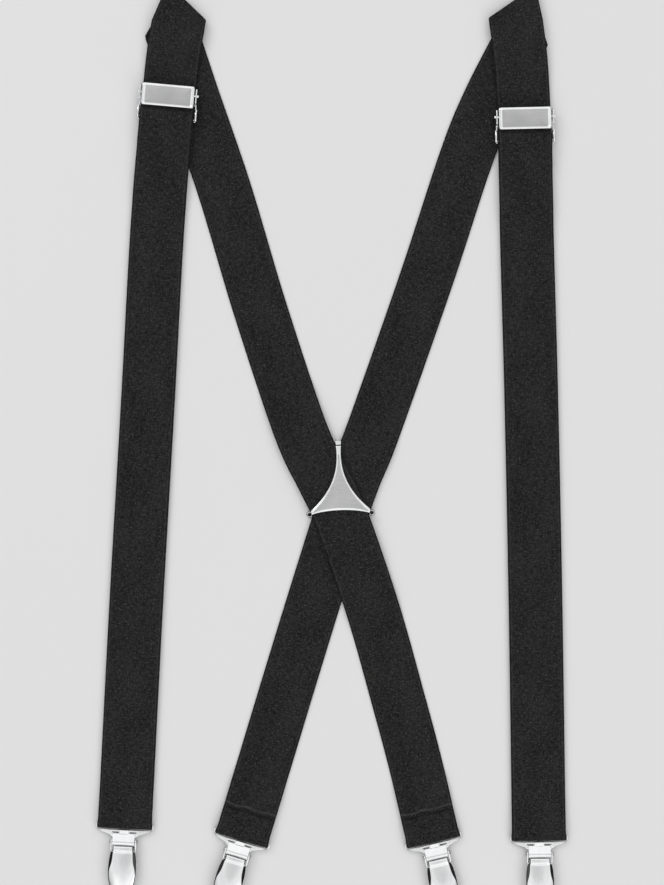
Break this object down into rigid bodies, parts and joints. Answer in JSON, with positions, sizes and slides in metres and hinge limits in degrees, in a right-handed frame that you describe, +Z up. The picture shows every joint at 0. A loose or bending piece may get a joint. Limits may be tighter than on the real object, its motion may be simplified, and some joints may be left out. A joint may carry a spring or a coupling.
{
  "type": "suspenders",
  "caption": "Elastic clip-on trouser suspenders with crossed back, three-pointed cross plate, hinged-cover strap adjusters and lever clips, laid flat.",
  "frame": {"origin": "middle of the outline, on the surface that the suspenders lie on", "axes": "+Y from the clips towards the shoulders, +X to the right of the face that is up, +Z up from the surface"},
  "size_m": [0.3086, 0.6106, 0.0094],
  "materials": {
    "webbing": "matt woven elastic webbing, charcoal black",
    "chrome": "bright nickel plate",
    "satin": "satin plated face inside a bright rim",
    "steel": "plain steel",
    "grip": "matt moulded rubber with cross ridges"
  },
  "bodies": {
    "root": {"left_shoulder_strap": "webbing", "right_shoulder_strap": "webbing", "left_back_strap": "webbing", "right_back_strap": "webbing", "cross_front_plate": "satin", "cross_back_plate": "steel", "cross_rivet_left": "chrome", "cross_rivet_right": "chrome"},
    "left_adjuster": {"left_adjuster_frame": "chrome", "left_adjuster_pin": "steel"},
    "left_cover": {"left_adjuster_cover": "satin"},
    "left_carriage": {"left_front_strap": "webbing"},
    "right_adjuster": {"right_adjuster_frame": "chrome", "right_adjuster_pin": "steel"},
    "right_cover": {"right_adjuster_cover": "satin"},
    "right_carriage": {"right_front_strap": "webbing"},
    "left_front_clip": {"left_front_clip_base": "chrome", "left_front_clip_pin": "steel", "left_front_clip_spring": "steel", "left_front_clip_rear_pad": "grip"},
    "left_front_lever": {"left_front_clip_lever": "chrome", "left_front_clip_front_pad": "grip"},
    "left_back_clip": {"left_back_clip_base": "chrome", "left_back_clip_pin": "steel", "left_back_clip_spring": "steel", "left_back_clip_rear_pad": "grip"},
    "left_back_lever": {"left_back_clip_lever": "chrome", "left_back_clip_front_pad": "grip"},
    "right_front_clip": {"right_front_clip_base": "chrome", "right_front_clip_pin": "steel", "right_front_clip_spring": "steel", "right_front_clip_rear_pad": "grip"},
    "right_front_lever": {"right_front_clip_lever": "chrome", "right_front_clip_front_pad": "grip"},
    "right_back_clip": {"right_back_clip_base": "chrome", "right_back_clip_pin": "steel", "right_back_clip_spring": "steel", "right_back_clip_rear_pad": "grip"},
    "right_back_lever": {"right_back_clip_lever": "chrome", "right_back_clip_front_pad": "grip"}
  },
  "joints": [
    {"name": "left_adjuster_slide", "type": "slide", "parent": "root", "child": "left_adjuster", "axis": [-0.0884, -0.9961, 0], "range_m": [0, 0.15], "deforming": ["left_front_strap"]},
    {"name": "left_cover_hinge", "type": "hinge", "parent": "left_adjuster", "child": "left_cover", "pos_m": [-0.10638, 0.232, 0.008], "axis": [-0.9961, 0.0884, 0], "range_deg": [0, 35]},
    {"name": "left_strap_takeup", "type": "slide", "parent": "left_adjuster", "child": "left_carriage", "axis": [-0.0884, -0.9961, 0], "range_m": [-0.075, 0], "deforming": ["left_front_strap"]},
    {"name": "right_adjuster_slide", "type": "slide", "parent": "root", "child": "right_adjuster", "axis": [0.0235, -0.9997, 0], "range_m": [0, 0.15], "deforming": ["right_front_strap"]},
    {"name": "right_cover_hinge", "type": "hinge", "parent": "right_adjuster", "child": "right_cover", "pos_m": [0.12561, 0.21731, 0.008], "axis": [-0.9997, -0.0235, 0], "range_deg": [0, 35]},
    {"name": "right_strap_takeup", "type": "slide", "parent": "right_adjuster", "child": "right_carriage", "axis": [0.0235, -0.9997, 0], "range_m": [-0.075, 0], "deforming": ["right_front_strap"]},
    {"name": "left_front_clip_hinge", "type": "hinge", "parent": "left_carriage", "child": "left_front_clip", "pos_m": [-0.13517, -0.24439, 0.00225], "axis": [-0.9987, 0.0512, 0], "range_deg": [0, 80]},
    {"name": "left_front_lever_hinge", "type": "hinge", "parent": "left_front_clip", "child": "left_front_lever", "pos_m": [-0.1357, -0.25468, 0.0049], "axis": [-0.9987, 0.0512, 0], "range_deg": [0, 90]},
    {"name": "left_back_clip_hinge", "type": "hinge", "parent": "root", "child": "left_back_clip", "pos_m": [0.06603, -0.25339, 0.00225], "axis": [-0.974, -0.2263, 0], "range_deg": [0, 80]},
    {"name": "left_back_lever_hinge", "type": "hinge", "parent": "left_back_clip", "child": "left_back_lever", "pos_m": [0.06836, -0.26342, 0.0049], "axis": [-0.974, -0.2263, 0], "range_deg": [0, 90]},
    {"name": "right_front_clip_hinge", "type": "hinge", "parent": "right_carriage", "child": "right_front_clip", "pos_m": [0.13523, -0.25229, 0.00225], "axis": [-0.9999, -0.0142, 0], "range_deg": [0, 80]},
    {"name": "right_front_lever_hinge", "type": "hinge", "parent": "right_front_clip", "child": "right_front_lever", "pos_m": [0.13538, -0.26259, 0.0049], "axis": [-0.9999, -0.0142, 0], "range_deg": [0, 90]},
    {"name": "right_back_clip_hinge", "type": "hinge", "parent": "root", "child": "right_back_clip", "pos_m": [-0.05857, -0.25209, 0.00225], "axis": [-0.9568, 0.2907, 0], "range_deg": [0, 80]},
    {"name": "right_back_lever_hinge", "type": "hinge", "parent": "right_back_clip", "child": "right_back_lever", "pos_m": [-0.06156, -0.26195, 0.0049], "axis": [-0.9568, 0.2907, 0], "range_deg": [0, 90]}
  ],
  "couplings": [
    {"joint": "left_strap_takeup", "follows": "left_adjuster_slide", "ratio": -0.5},
    {"joint": "right_strap_takeup", "follows": "right_adjuster_slide", "ratio": -0.5}
  ]
}
